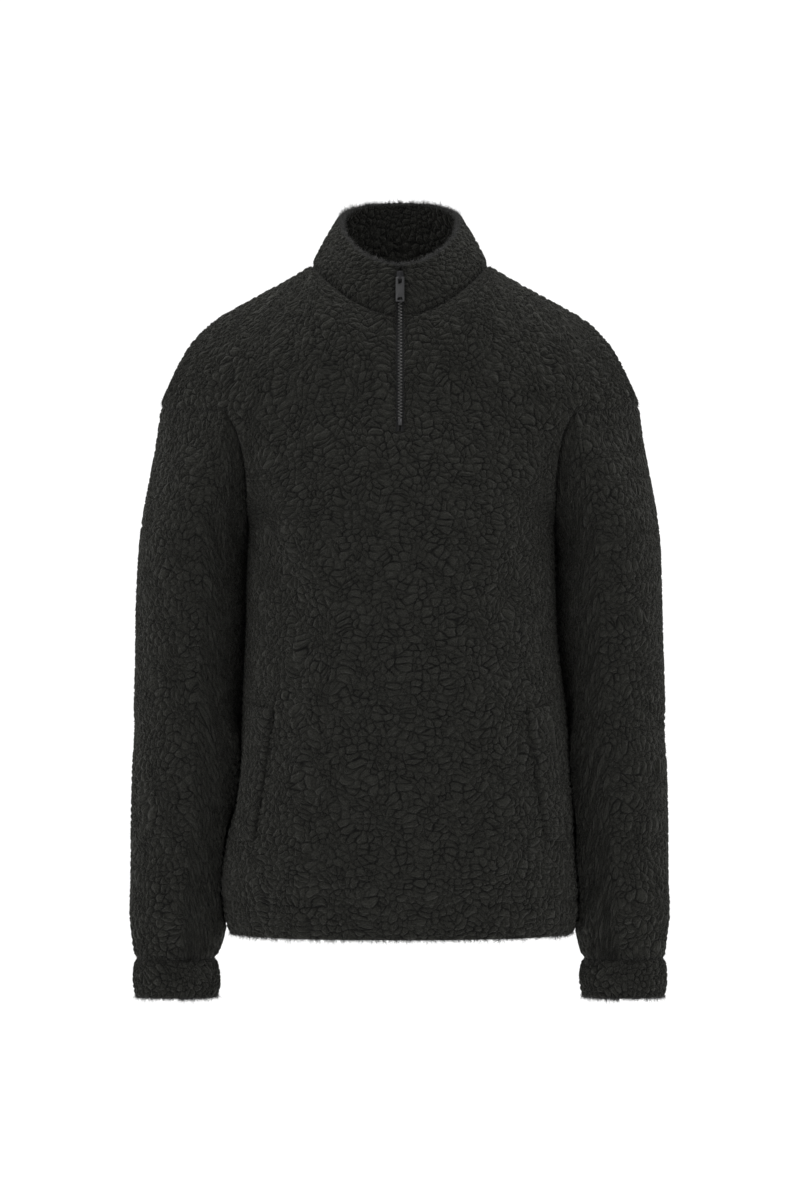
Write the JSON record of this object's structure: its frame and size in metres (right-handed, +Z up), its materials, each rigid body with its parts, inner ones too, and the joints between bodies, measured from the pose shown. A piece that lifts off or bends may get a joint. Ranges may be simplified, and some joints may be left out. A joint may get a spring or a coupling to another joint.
{
  "type": "sherpa sweatshirt",
  "caption": "Charcoal sherpa fleece pullover with a stand collar, a short closed chest zip, dropped shoulders, slanted pocket welts and banded cuffs.",
  "frame": {"origin": "middle of the shoulder line at the base of the neck, where the wearer's shoulders carry the garment", "axes": "+Z up from hem to collar, +X to the wearer's left, +Y to the wearer's back, so the zip faces -Y"},
  "size_m": [0.5382, 0.2592, 0.7977],
  "materials": {
    "charcoal sherpa": "matt",
    "zip tape": "matt",
    "gunmetal": "satin"
  },
  "bodies": {
    "garment": {"front_body": "charcoal sherpa", "back_body": "charcoal sherpa", "collar": "charcoal sherpa", "sleeve_right": "charcoal sherpa", "sleeve_left": "charcoal sherpa", "cuff_right": "charcoal sherpa", "cuff_left": "charcoal sherpa", "pocket_welt_right": "charcoal sherpa", "pocket_welt_left": "charcoal sherpa", "zip_tape_right": "zip tape", "zip_tape_left": "zip tape", "zip_chain": "gunmetal", "zip_bottom_stop": "gunmetal", "zip_slider": "gunmetal"},
    "zip_pull": {"zip_pull": "gunmetal"}
  },
  "joints": [
    {"name": "zip_pull_hinge", "type": "hinge", "parent": "garment", "child": "zip_pull", "pos_m": [0, -0.0914, -0.01851], "axis": [-1, 0, 0], "range_deg": [0, 140]}
  ]
}
